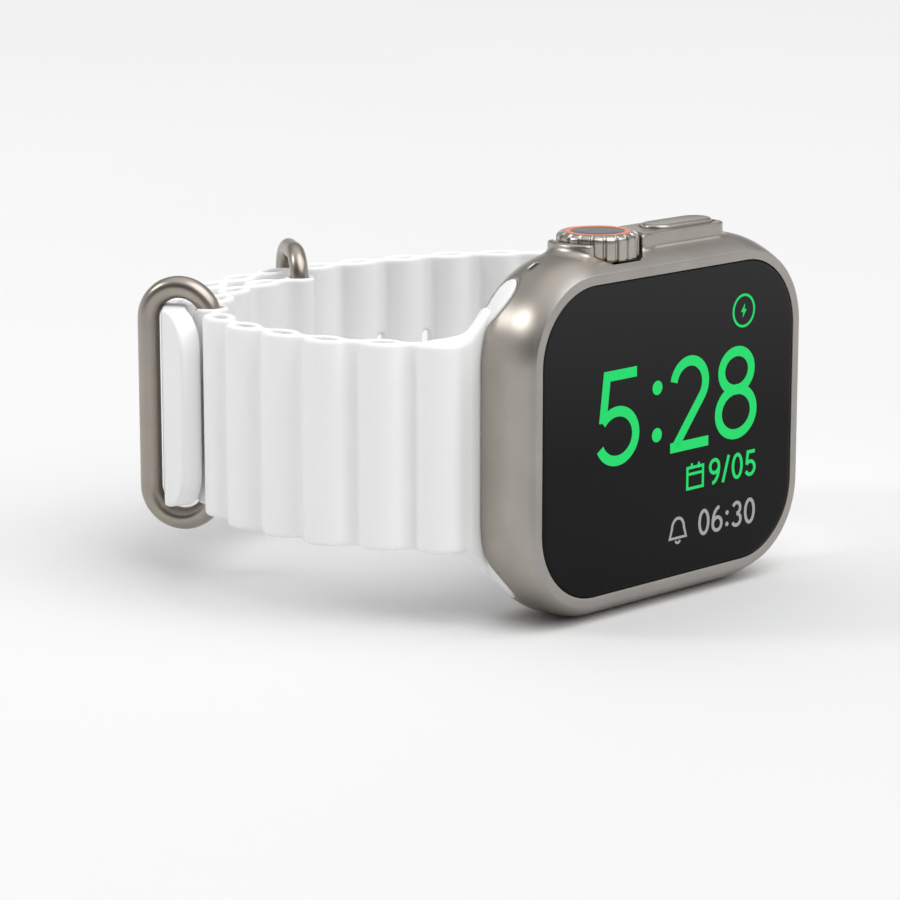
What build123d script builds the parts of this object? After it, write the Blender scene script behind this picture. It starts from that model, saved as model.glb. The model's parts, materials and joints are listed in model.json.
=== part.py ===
"""Smartwatch lying on its side: a metal case with its inner parts, and a closed two-piece strap.

Millimetres. +Z is up and is the side with the crown, the display faces -Y, and the wearer's arm runs
along Z inside the strap. The origin is the centre of the flat on the domed back, where a charger sits.
"""
from math import atan2, cos, degrees, radians, sin

from build123d import *
import os

# ---------------------------------------------------------------- driving dimensions
THICKNESS = 14.4                 # front lip to the flat of the back dome
LIP_WIDTH, LIP_HEIGHT, LIP_RADIUS = 47.6, 39.84, 10.0
GLASS_WIDTH, GLASS_HEIGHT, GLASS_RADIUS = 45.2, 37.5, 9.0
METAL_BACK = 12.4                # depth of the metal's rear face behind the lip

# the side wall swells from the lip to its widest, stays there, then rolls in to the rear face
SWELL_DEPTH, SWELL_POWER = 5.0, 2.6
SWELL_WIDTH, SWELL_HEIGHT, SWELL_RADIUS = 0.70, 2.08, 2.6
ROLL_START, ROLL_WIDTH, ROLL_HEIGHT = 6.6, 1.5, 2.2
RIM_START, RIM_SIZE = 10.8, 1.2
SECTION_DEPTHS = (0.0, 0.4, 0.9, 1.6, 2.5, 3.6, 5.0, 6.6, 8.0, 9.4, 10.8, 11.4, 11.8, 12.1, METAL_BACK)

FRONT_CAVITY = (42.8, 35.0, 8.0)     # width, height, corner radius
REAR_CAVITY = (35.2, 35.0, 7.0)
LEDGE_DEPTH, STEP_DEPTH, CAVITY_DEPTH = 1.9, 6.0, 10.9
BACK_LEDGE_DEPTH, LATCH_POCKET_DEPTH = 11.5, 10.3
COVER_SIZE = (31.0, 33.0, 8.0)
COVER_OPENING = (27.5, 29.5, 7.5)
SCREW_X, SCREW_Z = 12.2, 13.2

CHANNEL_X, CHANNEL_DEPTH, CHANNEL_RADIUS = 21.0, 8.5, 1.95     # round part of each lug channel
MOUTH_DEPTH, MOUTH_HEIGHT = 9.65, 2.1    # middle and height of the slot that opens it sideways
LUG_CLEARANCE = 0.1

SIDE_DEPTH = 5.8                 # crown and buttons stand on the mid plane of the side wall
GUARD_FRONT, GUARD_REAR = 2.35, 9.25
GUARD_END_X, GUARD_TOP_Z, GUARD_CORNER = 12.9, 23.4, 2.2
CROWN_X, CROWN_RADIUS, CROWN_TOP_Z, CROWN_BOTTOM_Z = -7.3, 4.95, 24.03, 20.75
FAIRING_RADIUS, FAIRING_TOP_Z = 6.2, 23.1
POCKET_RADIUS, POCKET_FLOOR_Z = 5.3, 20.3
KNURL_COUNT, KNURL_RADIUS = 20, 0.26
RING_OUTER, RING_INNER = 3.95, 3.25
SHAFT_RADIUS, SHAFT_BORE = 1.55, 1.60
SLEEVE_RADIUS = 2.6

PILL_LENGTH, PILL_WIDTH, PILL_GAP = 11.0, 4.2, 0.08
SIDE_BUTTON_X, SIDE_BUTTON_TOP_Z = 6.9, 23.85
ACTION_BUTTON_X, ACTION_BUTTON_Z = 0.0, -21.9
STEM_RADIUS, STEM_BORE = 1.0, 1.06

STRAP_WIDTH, TUBE_HALF_LENGTH, TUBE_HALF_THICK, WEB_THICK = 24.8, 2.75, 1.95, 1.3
HOLLOW_HALF_LENGTH, HOLLOW_HALF_THICK = 1.8, 0.85
NECK_THICK, FLARE_HALF = 1.9, 16.0

# tube centres (x, depth behind the lip), from the case round to each strap's end
NEAR_TUBES = [(-28.6, 11.3), (-32.3, 17.0), (-35.4, 23.4), (-36.2, 30.1), (-36.3, 36.6), (-34.4, 43.3),
              (-30.8, 48.9), (-25.6, 53.6), (-20.1, 57.0), (-13.8, 58.6), (-7.7, 58.1)]
FAR_TUBES = [(28.6, 11.3), (32.3, 17.0), (35.6, 23.4), (36.8, 30.0), (37.0, 36.5), (35.6, 43.2),
             (31.6, 49.2), (25.9, 54.6), (19.8, 58.3), (13.3, 60.8), (6.7, 62.6), (0.3, 63.9),
             (-6.4, 64.5), (-13.2, 63.9), (-19.6, 62.0), (-25.8, 59.3), (-31.1, 55.2)]
TIP_PATH, TIP_THICK, TIP_CORNER = [(-33.5, 52.7), (-35.2, 50.9), (-36.4, 46.4)], 2.8, 4.8
HOLE_PAIRS = [(2, 3), (3, 4), (4, 5), (5, 6), (6, 7), (7, 8), (8, 9), (9, 10)]   # holes lie between tubes

BUCKLE_TUBE, KEEPER_TUBE = NEAR_TUBES[6], NEAR_TUBES[-1]
BUCKLE_WIRE, BUCKLE_SPAN, BUCKLE_ANGLE, BUCKLE_HALF_HEIGHT = 1.38, 8.27, 120.8, 16.1
KEEPER_WIRE, KEEPER_SPAN, KEEPER_ANGLE, KEEPER_HALF_HEIGHT = 1.20, 9.9, 59.0, 16.5
KEEPER_CORNER = 3.4
WIRE_GAP = 0.07

pieces = {}


# ---------------------------------------------------------------- shared shapes
def behind_lip(depth):
    """Plane parallel to the display, this far behind the lip; its local axes are X and Z."""
    return Plane.XZ.offset(THICKNESS - depth)


def y_at(depth):
    return depth - THICKNESS


def plan(centre):
    """A point given as x and depth, in the row's X and Y."""
    return (centre[0], y_at(centre[1]))


def block(x_span, z_span, depth_span, radius=0.2):
    """A flat rounded block parallel to the display."""
    with BuildPart() as piece:
        with BuildSketch(behind_lip(depth_span[0])):
            with Locations(((x_span[0] + x_span[1]) / 2, (z_span[0] + z_span[1]) / 2)):
                RectangleRounded(x_span[1] - x_span[0], z_span[1] - z_span[0], radius)
        extrude(amount=depth_span[0] - depth_span[1])
    return piece


def frame(outer, inner, depth_span):
    """A flat rounded frame parallel to the display."""
    with BuildPart() as piece:
        with BuildSketch(behind_lip(depth_span[0])):
            RectangleRounded(*outer)
            RectangleRounded(*inner, mode=Mode.SUBTRACT)
        extrude(amount=depth_span[0] - depth_span[1])
    return piece


def disc(outer, inner, depth_span):
    """A round disc or washer parallel to the display, on the origin's axis."""
    with BuildPart() as piece:
        with BuildSketch(behind_lip(depth_span[0])):
            Circle(outer)
            if inner:
                Circle(inner, mode=Mode.SUBTRACT)
        extrude(amount=depth_span[0] - depth_span[1])
    return piece


def upright_ring(x, depth, outer, inner, z_span):
    """A washer or tube whose axis is vertical."""
    with BuildPart() as piece:
        with BuildSketch(Plane.XY.offset(z_span[0])):
            with Locations((x, y_at(depth))):
                Circle(outer)
                if inner:
                    Circle(inner, mode=Mode.SUBTRACT)
        extrude(amount=z_span[1] - z_span[0])
    return piece


def pill_button(x, face_z, base_z, stem_z, direction):
    """A pill-shaped button with a round stem; direction is +1 on the crown side and -1 opposite."""
    with BuildPart() as piece:
        with BuildSketch(Plane.XY.offset(base_z)):
            with Locations((x, y_at(SIDE_DEPTH))):
                SlotOverall(PILL_LENGTH, PILL_WIDTH)
        extrude(amount=face_z - base_z)
        outer_face = piece.faces().sort_by(Axis.Z)[-1 if direction > 0 else 0]
        fillet(outer_face.edges(), 0.35)
        with BuildSketch(Plane.XY.offset(stem_z)):
            with Locations((x, y_at(SIDE_DEPTH))):
                Circle(STEM_RADIUS)
        extrude(amount=base_z - stem_z)
    return piece


# ---------------------------------------------------------------- case
def case_outline(depth):
    """Width, height and corner radius of the case's outline at one depth behind the lip."""
    swell = 1 - (1 - min(depth / SWELL_DEPTH, 1)) ** SWELL_POWER
    roll = max(0, (depth - ROLL_START) / (METAL_BACK - ROLL_START)) ** 2
    rim = RIM_SIZE * max(0, (depth - RIM_START) / (METAL_BACK - RIM_START)) ** 2
    return (LIP_WIDTH + 2 * (SWELL_WIDTH * swell - ROLL_WIDTH * roll - rim),
            LIP_HEIGHT + 2 * (SWELL_HEIGHT * swell - ROLL_HEIGHT * roll - rim),
            LIP_RADIUS + SWELL_RADIUS * swell)


def case_envelope():
    """The outside of the case before the guard and pockets, as a loft of rounded outlines."""
    with BuildPart() as outside:
        for depth in SECTION_DEPTHS:
            with BuildSketch(behind_lip(depth)):
                RectangleRounded(*case_outline(depth))
        loft()
    return outside


envelope = case_envelope()

with BuildPart() as case_body:
    add(envelope.part)

    # raised guard round the crown and under the side button
    with BuildSketch(Plane.XY.offset(17.8)):
        with BuildLine():
            Polyline((CROWN_X, y_at(GUARD_FRONT)), (GUARD_END_X, y_at(GUARD_FRONT)),
                     (GUARD_END_X, y_at(GUARD_REAR)), (CROWN_X, y_at(GUARD_REAR)), close=True)
        face = make_face()
        fillet(face.vertices().group_by(Axis.X)[-1], GUARD_CORNER)
    extrude(amount=GUARD_TOP_Z - 17.8)
    with BuildSketch(Plane.XY.offset(17.8)):
        with Locations((CROWN_X, y_at(SIDE_DEPTH))):
            Circle(FAIRING_RADIUS)
            Rectangle(2 * FAIRING_RADIUS, 2 * (SIDE_DEPTH - GUARD_FRONT), mode=Mode.INTERSECT)
    extrude(amount=FAIRING_TOP_Z - 17.8)

    # glass seat, cavities and rear opening
    with BuildSketch(behind_lip(0)):
        RectangleRounded(GLASS_WIDTH, GLASS_HEIGHT, GLASS_RADIUS)
    extrude(amount=-LEDGE_DEPTH, mode=Mode.SUBTRACT)
    with BuildSketch(behind_lip(LEDGE_DEPTH)):
        RectangleRounded(*FRONT_CAVITY)
    extrude(amount=LEDGE_DEPTH - STEP_DEPTH, mode=Mode.SUBTRACT)
    with BuildSketch(behind_lip(STEP_DEPTH)):
        RectangleRounded(*REAR_CAVITY)
    extrude(amount=STEP_DEPTH - CAVITY_DEPTH, mode=Mode.SUBTRACT)
    with BuildSketch(behind_lip(CAVITY_DEPTH)):
        RectangleRounded(*COVER_OPENING)
    extrude(amount=CAVITY_DEPTH - BACK_LEDGE_DEPTH, mode=Mode.SUBTRACT)
    with BuildSketch(behind_lip(BACK_LEDGE_DEPTH)):
        RectangleRounded(COVER_SIZE[0] + 0.1, COVER_SIZE[1] + 0.1, COVER_SIZE[2])
    extrude(amount=BACK_LEDGE_DEPTH - METAL_BACK - 0.1, mode=Mode.SUBTRACT)
    with BuildSketch(behind_lip(CAVITY_DEPTH)):
        with GridLocations(2 * SCREW_X, 2 * SCREW_Z, 2, 2):
            Circle(0.5)
    extrude(amount=CAVITY_DEPTH - METAL_BACK, mode=Mode.SUBTRACT)

    # the two lug channels, open at both ends
    with BuildSketch(Plane.XY.offset(-30)):
        for side in (-1, 1):
            with Locations((side * CHANNEL_X, y_at(CHANNEL_DEPTH))):
                Circle(CHANNEL_RADIUS)
            with Locations((side * (CHANNEL_X + 3), y_at(MOUTH_DEPTH))):
                Rectangle(6, MOUTH_HEIGHT)
    extrude(amount=60, mode=Mode.SUBTRACT)

    # crown pocket and the bore of its sleeve
    with BuildSketch(Plane.XY.offset(POCKET_FLOOR_Z)):
        with Locations((CROWN_X, y_at(SIDE_DEPTH))):
            Circle(POCKET_RADIUS)
    extrude(amount=10, mode=Mode.SUBTRACT)
    with BuildSketch(Plane.XY.offset(16)):
        with Locations((CROWN_X, y_at(SIDE_DEPTH))):
            Circle(SLEEVE_RADIUS)
    extrude(amount=6, mode=Mode.SUBTRACT)
    with BuildSketch(Plane.XY.offset(POCKET_FLOOR_Z - 0.5)):
        with Locations((CROWN_X, y_at(SIDE_DEPTH))):
            Circle(SLEEVE_RADIUS + 0.6)
    extrude(amount=1, mode=Mode.SUBTRACT)

    # button pockets and stem bores on both sides
    for x, floor_z, direction in ((SIDE_BUTTON_X, 21.6, 1), (ACTION_BUTTON_X, -20.4, -1)):
        with BuildSketch(Plane.XY.offset(floor_z)):
            with Locations((x, y_at(SIDE_DEPTH))):
                SlotOverall(PILL_LENGTH + 2 * PILL_GAP, PILL_WIDTH + 2 * PILL_GAP)
        extrude(amount=direction * 8, mode=Mode.SUBTRACT)
        with BuildSketch(Plane.XY.offset(direction * 16)):
            with Locations((x, y_at(SIDE_DEPTH))):
                Circle(STEM_BORE)
        extrude(amount=direction * 8, mode=Mode.SUBTRACT)

    # sound slots on the side opposite the crown, and the microphone hole beside the crown
    with BuildSketch(Plane.XY.offset(-30)):
        for x in (-12.0, 12.0):
            for depth in (4.6, 7.8):
                with Locations((x, y_at(depth))):
                    SlotOverall(7.0, 1.0)
    extrude(amount=14, mode=Mode.SUBTRACT)
    with BuildSketch(Plane.XY.offset(13)):
        with Locations((-17.2, y_at(6.8))):
            SlotOverall(1.3, 0.7)
    extrude(amount=10, mode=Mode.SUBTRACT)

    # pockets of the strap-release buttons in the rear face, deep enough for their travel
    with BuildSketch(behind_lip(LATCH_POCKET_DEPTH)):
        for side in (-1, 1):
            with Locations((side * 17.3, 0)):
                SlotOverall(6.2, 2.0, rotation=90)
    extrude(amount=LATCH_POCKET_DEPTH - METAL_BACK - 0.1, mode=Mode.SUBTRACT)

pieces["case_body"] = case_body

# ---------------------------------------------------------------- display and rear closure
pieces["display_crystal"] = block((-22.55, 22.55), (-18.7, 18.7), (0.0, 1.6), 8.95)
pieces["display_gasket"] = frame((44.8, 37.1, 8.8), (43.4, 35.6, 8.2), (1.6, LEDGE_DEPTH))
pieces["display_panel"] = block((-21.1, 21.1), (-17.2, 17.2), (1.6, 2.6), 7.7)

with BuildPart() as mid_frame:
    with BuildSketch(behind_lip(2.7)):
        RectangleRounded(42.0, 34.2, 7.6)
        with Locations((7.45, 0)):
            Rectangle(1.2, 12, mode=Mode.SUBTRACT)
        with GridLocations(34, 26, 2, 2):
            Circle(1.2, mode=Mode.SUBTRACT)
    extrude(amount=-0.45)
pieces["mid_frame"] = mid_frame

with BuildPart() as back_gasket:
    with BuildSketch(behind_lip(BACK_LEDGE_DEPTH)):
        RectangleRounded(30.8, 32.8, 7.9)
        RectangleRounded(28.4, 30.4, 7.7, mode=Mode.SUBTRACT)
        with GridLocations(2 * SCREW_X, 2 * SCREW_Z, 2, 2):
            Circle(0.75, mode=Mode.SUBTRACT)
    extrude(amount=-0.15)
pieces["back_gasket"] = back_gasket

with BuildPart() as back_cover:
    with BuildSketch(behind_lip(11.65)):
        RectangleRounded(*COVER_SIZE)
        Circle(11.4, mode=Mode.SUBTRACT)
        with GridLocations(2 * SCREW_X, 2 * SCREW_Z, 2, 2):
            Circle(0.6, mode=Mode.SUBTRACT)
    extrude(amount=11.65 - METAL_BACK)
    with BuildSketch(behind_lip(METAL_BACK)):
        with GridLocations(2 * SCREW_X, 2 * SCREW_Z, 2, 2):
            Circle(1.0)
    extrude(amount=0.35, mode=Mode.SUBTRACT)
pieces["back_cover"] = back_cover

with BuildPart() as back_crystal:
    with BuildSketch(Plane.XY):
        with BuildLine():
            Polyline((0, y_at(11.7)), (11.3, y_at(11.7)), (11.3, y_at(METAL_BACK)), (12.6, y_at(METAL_BACK)),
                     (12.6, y_at(12.7)))
            ThreePointArc((12.6, y_at(12.7)), (9.2, y_at(13.95)), (5.0, 0))
            Polyline((5.0, 0), (0, 0), (0, y_at(11.7)))
        make_face()
    revolve(axis=Axis.Y)
pieces["back_crystal"] = back_crystal

with BuildPart() as back_screws:
    with BuildSketch(behind_lip(METAL_BACK)):
        with GridLocations(2 * SCREW_X, 2 * SCREW_Z, 2, 2):
            Circle(0.95)
    extrude(amount=0.35)
    with BuildSketch(behind_lip(METAL_BACK - 0.35)):
        with GridLocations(2 * SCREW_X, 2 * SCREW_Z, 2, 2):
            Circle(0.5)
    extrude(amount=1.0)
    with BuildSketch(behind_lip(METAL_BACK)):
        with GridLocations(2 * SCREW_X, 2 * SCREW_Z, 2, 2):
            RegularPolygon(0.4, 6)
    extrude(amount=0.2, mode=Mode.SUBTRACT)
pieces["back_screws"] = back_screws

# ---------------------------------------------------------------- inner parts
pieces["battery"] = block((-17.2, 6.8), (-10.6, 12.4), (3.6, 9.0), 1.0)
pieces["haptic_engine"] = block((8.2, 17.2), (-10.6, 12.4), (3.9, 9.0), 1.2)
pieces["main_board"] = block((-17.2, 17.2), (-17.1, 17.1), (9.7, 10.4), 6.5)

with BuildPart() as board_chips:
    with BuildSketch(behind_lip(9.15)):
        with Locations((-6, 2)):
            RectangleRounded(11, 11, 0.3)
        with Locations((12.0, 6.5)):
            RectangleRounded(7, 5, 0.3)
        with Locations((12.0, -3.5)):
            RectangleRounded(6, 8, 0.3)
    extrude(amount=-0.55)
pieces["board_chips"] = board_chips

pieces["sensor_board"] = disc(7.4, None, (10.55, 11.25))
pieces["charging_coil"] = disc(12.4, 7.9, (10.55, 11.4))
pieces["alignment_magnet"] = disc(13.6, 12.7, (10.55, 11.4))
pieces["display_cable"] = block((7.3, 7.6), (-4.0, 4.0), (2.6, 9.7), 0.1)
pieces["antenna"] = block((20.3, 20.9), (-8.5, 8.5), (3.5, 5.7), 0.25)
pieces["speaker"] = block((-15.2, -7.4), (-15.8, -11.2), (3.8, 9.0), 1.5)
pieces["siren_speaker"] = block((7.4, 15.2), (-15.8, -11.2), (3.8, 9.0), 1.5)
pieces["microphone"] = block((-14.8, -12.2), (12.9, 15.1), (6.2, 7.6), 0.3)

for label, x in (("speaker_mesh", -12.0), ("siren_mesh", 12.0)):
    with BuildPart() as mesh:
        with BuildSketch(Plane.XY.offset(-20.4)):
            for depth in (4.6, 7.8):
                with Locations((x, y_at(depth))):
                    SlotOverall(6.96, 0.96)
        extrude(amount=0.3)
    pieces[label] = mesh

# ---------------------------------------------------------------- crown
with BuildPart() as crown_cap:
    with BuildSketch(Plane.XY.offset(CROWN_BOTTOM_Z)):
        with Locations((CROWN_X, y_at(SIDE_DEPTH))):
            Circle(CROWN_RADIUS)
    extrude(amount=CROWN_TOP_Z - CROWN_BOTTOM_Z)
    fillet(crown_cap.faces().sort_by(Axis.Z)[-1].edges(), 0.5)
    fillet(crown_cap.faces().sort_by(Axis.Z)[0].edges(), 0.25)
    with BuildSketch(Plane.XY.offset(CROWN_TOP_Z - 0.5)):
        with Locations((CROWN_X, y_at(SIDE_DEPTH))):
            Circle(RING_OUTER)
    extrude(amount=1, mode=Mode.SUBTRACT)
    with BuildSketch(Plane.XY.offset(CROWN_BOTTOM_Z - 1)):
        with Locations((CROWN_X, y_at(SIDE_DEPTH))):
            with PolarLocations(CROWN_RADIUS + 0.08, KNURL_COUNT):
                Circle(KNURL_RADIUS)
    extrude(amount=6, mode=Mode.SUBTRACT)
pieces["crown_cap"] = crown_cap

pieces["crown_ring"] = upright_ring(CROWN_X, SIDE_DEPTH, RING_OUTER, RING_INNER,
                                    (CROWN_TOP_Z - 0.5, CROWN_TOP_Z))
pieces["crown_disc"] = upright_ring(CROWN_X, SIDE_DEPTH, RING_INNER, None,
                                    (CROWN_TOP_Z - 0.5, CROWN_TOP_Z - 0.05))
pieces["crown_shaft"] = upright_ring(CROWN_X, SIDE_DEPTH, SHAFT_RADIUS, None, (14.0, CROWN_BOTTOM_Z))
pieces["crown_encoder_wheel"] = upright_ring(CROWN_X, SIDE_DEPTH, 2.3, SHAFT_RADIUS, (14.0, 14.5))
pieces["crown_carrier"] = upright_ring(CROWN_X, SIDE_DEPTH, 2.3, SHAFT_BORE, (14.7, 15.4))
pieces["crown_sleeve"] = upright_ring(CROWN_X, SIDE_DEPTH, SLEEVE_RADIUS, SHAFT_BORE, (16.2, POCKET_FLOOR_Z))
pieces["crown_seal"] = upright_ring(CROWN_X, SIDE_DEPTH, SLEEVE_RADIUS + 0.6, SLEEVE_RADIUS,
                                    (POCKET_FLOOR_Z - 0.5, POCKET_FLOOR_Z))
pieces["crown_switch"] = upright_ring(CROWN_X, SIDE_DEPTH, 1.3, None, (12.8, 13.3))
pieces["crown_sensor"] = block((-9.4, -4.4), (13.2, 16.4), (9.1, 9.6), 0.2)

# ---------------------------------------------------------------- buttons
pieces["side_button"] = pill_button(SIDE_BUTTON_X, SIDE_BUTTON_TOP_Z, 22.2, 17.0, 1)
pieces["side_button_seal"] = upright_ring(SIDE_BUTTON_X, SIDE_DEPTH, 1.9, STEM_BORE, (16.7, 17.4))
pieces["side_button_switch"] = upright_ring(SIDE_BUTTON_X, SIDE_DEPTH, 1.3, None, (15.6, 16.4))
pieces["action_button"] = pill_button(ACTION_BUTTON_X, ACTION_BUTTON_Z, -21.0, -17.0, -1)
pieces["action_button_seal"] = upright_ring(ACTION_BUTTON_X, SIDE_DEPTH, 1.9, STEM_BORE, (-17.4, -16.7))
pieces["action_button_switch"] = upright_ring(ACTION_BUTTON_X, SIDE_DEPTH, 1.3, None, (-16.4, -15.6))

for label, side in (("latch_near", -1), ("latch_far", 1)):
    with BuildPart() as latch:
        with BuildSketch(behind_lip(METAL_BACK)):
            with Locations((side * 17.3, 0)):
                SlotOverall(6.04, 1.84, rotation=90)
        extrude(amount=METAL_BACK - 11.1)
        fillet(latch.faces().sort_by(Axis.Y)[-1].edges(), 0.2)
    pieces[label] = latch


# ---------------------------------------------------------------- strap
def lug(side):
    """The hard core that slides in one channel, trimmed flush with the case at both ends."""
    with BuildPart() as piece:
        with BuildSketch(Plane.XY.offset(-25)):
            with Locations((side * CHANNEL_X, y_at(CHANNEL_DEPTH))):
                Circle(CHANNEL_RADIUS - LUG_CLEARANCE)
        extrude(amount=50)
        add(envelope.part, mode=Mode.INTERSECT)
        with BuildSketch(Plane.XY.offset(-1.5)):
            with Locations((side * (CHANNEL_X - CHANNEL_RADIUS + LUG_CLEARANCE), y_at(CHANNEL_DEPTH))):
                Rectangle(1.0, 1.2)
        extrude(amount=3, mode=Mode.SUBTRACT)
    return piece


def heading(centres, index):
    """Direction of the strap at one tube, in degrees."""
    before, after = centres[max(index - 1, 0)], centres[min(index + 1, len(centres) - 1)]
    return degrees(atan2(after[1] - before[1], after[0] - before[0]))


def between(first, second, share=0.5):
    return tuple(a + (b - a) * share for a, b in zip(first, second))


def strap(side, tubes, round_tubes):
    """One ribbed strap: a flared neck that leaves the channel, then hollow tubes joined by webs."""
    centres = [plan(tube) for tube in tubes]
    lug_centre = (side * CHANNEL_X, y_at(CHANNEL_DEPTH))
    root = (side * (CHANNEL_X + 0.6), y_at(MOUTH_DEPTH))
    mouth = (side * (CHANNEL_X + 4.2), y_at(MOUTH_DEPTH))
    half = STRAP_WIDTH / 2
    with BuildPart() as piece:
        with BuildSketch(Plane.XY.offset(-FLARE_HALF)):
            with BuildLine():
                Polyline(root, mouth, centres[0])
            trace(line_width=NECK_THICK)
        extrude(amount=2 * FLARE_HALF)
        with BuildSketch(Plane.XZ.offset(-20)):
            with BuildLine():
                for up in (-1, 1):
                    Line((side * 15, 0), (side * 15, up * FLARE_HALF))
                    Line((side * 15, up * FLARE_HALF), (side * 23, up * FLARE_HALF))
                    ThreePointArc((side * 23, up * FLARE_HALF), (side * 24.9, up * (half + 1.5)),
                                  (side * 28.6, up * half))
                    Line((side * 28.6, up * half), (side * 32, up * half))
                    Line((side * 32, up * half), (side * 32, 0))
            make_face()
        extrude(amount=60, mode=Mode.INTERSECT)
        with BuildSketch(Plane.XY.offset(-half)):
            with BuildLine():
                Polyline(*centres)
            trace(line_width=WEB_THICK)
            for index, centre in enumerate(centres):
                with Locations(Location(centre + (0,), (0, 0, heading(centres, index)))):
                    if index in round_tubes:
                        Circle(round_tubes[index])
                    else:
                        Ellipse(TUBE_HALF_LENGTH, TUBE_HALF_THICK)
        extrude(amount=STRAP_WIDTH)
        with BuildSketch(Plane.XY.offset(-25)):
            for index, centre in enumerate(centres):
                if index and index not in round_tubes:
                    with Locations(Location(centre + (0,), (0, 0, heading(centres, index)))):
                        Ellipse(HOLLOW_HALF_LENGTH, HOLLOW_HALF_THICK)
            with Locations(lug_centre):
                Circle(CHANNEL_RADIUS - LUG_CLEARANCE)
        extrude(amount=50, mode=Mode.SUBTRACT)
    return piece


def leg_point(tube, span, angle):
    """Centre of a loop's free leg, opposite the leg that its strap tube holds."""
    x, y = plan(tube)
    return (x + span * cos(radians(angle)), y + span * sin(radians(angle)))


def bore_for_loop(piece, tube, wire, angle, relief):
    """Bore one tube for a loop's leg, slotted at both ends where the loop starts to bend."""
    x, y = plan(tube)
    half, depth = STRAP_WIDTH / 2, 1.9
    middle = (x + relief / 2 * cos(radians(angle)), y + relief / 2 * sin(radians(angle)))
    with BuildPart() as bored:
        add(piece.part)
        with BuildSketch(Plane.XY.offset(-half)):
            with Locations((x, y)):
                Circle(wire + WIRE_GAP)
        extrude(amount=STRAP_WIDTH, mode=Mode.SUBTRACT)
        if relief:
            for low in (-half, half - depth):
                with BuildSketch(Plane.XY.offset(low)):
                    with Locations(Location(middle + (0,), (0, 0, angle))):
                        SlotCenterToCenter(relief, 2 * (wire + WIRE_GAP))
                extrude(amount=depth, mode=Mode.SUBTRACT)
    return bored


strap_near = strap(-1, NEAR_TUBES, {6: 2.1, 10: 1.95})
strap_near = bore_for_loop(strap_near, BUCKLE_TUBE, BUCKLE_WIRE, BUCKLE_ANGLE, 0.62)
strap_near = bore_for_loop(strap_near, KEEPER_TUBE, KEEPER_WIRE, KEEPER_ANGLE, 0)
pieces["strap_near"] = strap_near

far_plain = strap(1, FAR_TUBES, {})
far_centres = [plan(tube) for tube in FAR_TUBES]
tip_path = [plan(point) for point in TIP_PATH]
with BuildPart() as strap_tip:
    with BuildSketch(Plane.XY.offset(-STRAP_WIDTH / 2)):
        with BuildLine():
            Polyline(far_centres[-1], *tip_path)
        trace(line_width=TIP_THICK)
    extrude(amount=STRAP_WIDTH)
    tip_end = strap_tip.faces().sort_by_distance(tip_path[-1] + (0,))[0]
    fillet([tip_end.edges().sort_by(Axis.Z)[k] for k in (0, -1)], TIP_CORNER)

with BuildPart() as strap_far:
    add(far_plain.part)
    add(strap_tip.part)
    with BuildSketch(Plane.XY.offset(-2.2)):
        for first, second in HOLE_PAIRS:
            start, end = far_centres[first], far_centres[second]
            middle = between(start, end)
            turn = degrees(atan2(end[1] - start[1], end[0] - start[0]))
            with Locations(Location(middle + (0,), (0, 0, turn))):
                Rectangle(1.3, 5.0)
    extrude(amount=4.4, mode=Mode.SUBTRACT)
    with BuildSketch(Plane.XY.offset(-25)):
        with Locations(Location(far_centres[-1] + (0,), (0, 0, heading(far_centres, len(far_centres) - 1)))):
            Ellipse(HOLLOW_HALF_LENGTH, HOLLOW_HALF_THICK)
    extrude(amount=50, mode=Mode.SUBTRACT)
pieces["strap_far"] = strap_far

pieces["lug_near"] = lug(-1)
pieces["lug_far"] = lug(1)
for label, side in (("lug_catch_near", -1), ("lug_catch_far", 1)):
    with BuildPart() as catch:
        with BuildSketch(Plane.XY.offset(-1.4)):
            with Locations((side * (CHANNEL_X - CHANNEL_RADIUS + LUG_CLEARANCE + 0.3), y_at(CHANNEL_DEPTH))):
                Rectangle(0.36, 1.1)
        extrude(amount=2.8)
    pieces[label] = catch


# ---------------------------------------------------------------- wire loops
def wire_loop(tube, wire, span, angle, half_height, corner):
    """An upright loop of round wire; one leg stands in its strap tube."""
    start = plan(tube)
    middle = between(start, leg_point(tube, span, angle))
    direction = (cos(radians(angle)), sin(radians(angle)), 0)
    across = Plane(origin=middle + (0,), x_dir=direction, z_dir=(direction[1], -direction[0], 0))
    reach = half_height - wire
    with BuildPart() as piece:
        with BuildLine(across):
            Line((-span / 2, 0), (-span / 2, reach - corner))
            RadiusArc((-span / 2, reach - corner), (corner - span / 2, reach), corner)
            if corner < span / 2:
                Line((corner - span / 2, reach), (span / 2 - corner, reach))
            RadiusArc((span / 2 - corner, reach), (span / 2, reach - corner), corner)
            Line((span / 2, reach - corner), (span / 2, 0))
        with BuildSketch(Plane(origin=start + (0,), z_dir=(0, 0, 1))):
            Circle(wire)
        sweep()
        mirror(about=Plane.XY)
    return piece


pieces["buckle_ring"] = wire_loop(BUCKLE_TUBE, BUCKLE_WIRE, BUCKLE_SPAN, BUCKLE_ANGLE, BUCKLE_HALF_HEIGHT,
                                   BUCKLE_SPAN / 2)
pieces["keeper_loop"] = wire_loop(KEEPER_TUBE, KEEPER_WIRE, KEEPER_SPAN, KEEPER_ANGLE, KEEPER_HALF_HEIGHT,
                                  KEEPER_CORNER)

# ---------------------------------------------------------------- export
os.makedirs("parts", exist_ok=True)
for label, piece in pieces.items():
    piece.part.label = label
    export_step(piece.part, f"parts/{label}.step")
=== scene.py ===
"""Looks of a smartwatch that lies on its side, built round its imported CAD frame.

Shapes are worked out in millimetres in the row frame and turned into metres when a mesh is made.
"""
import json
from math import atan2, cos, hypot, pi, radians, sin

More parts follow.
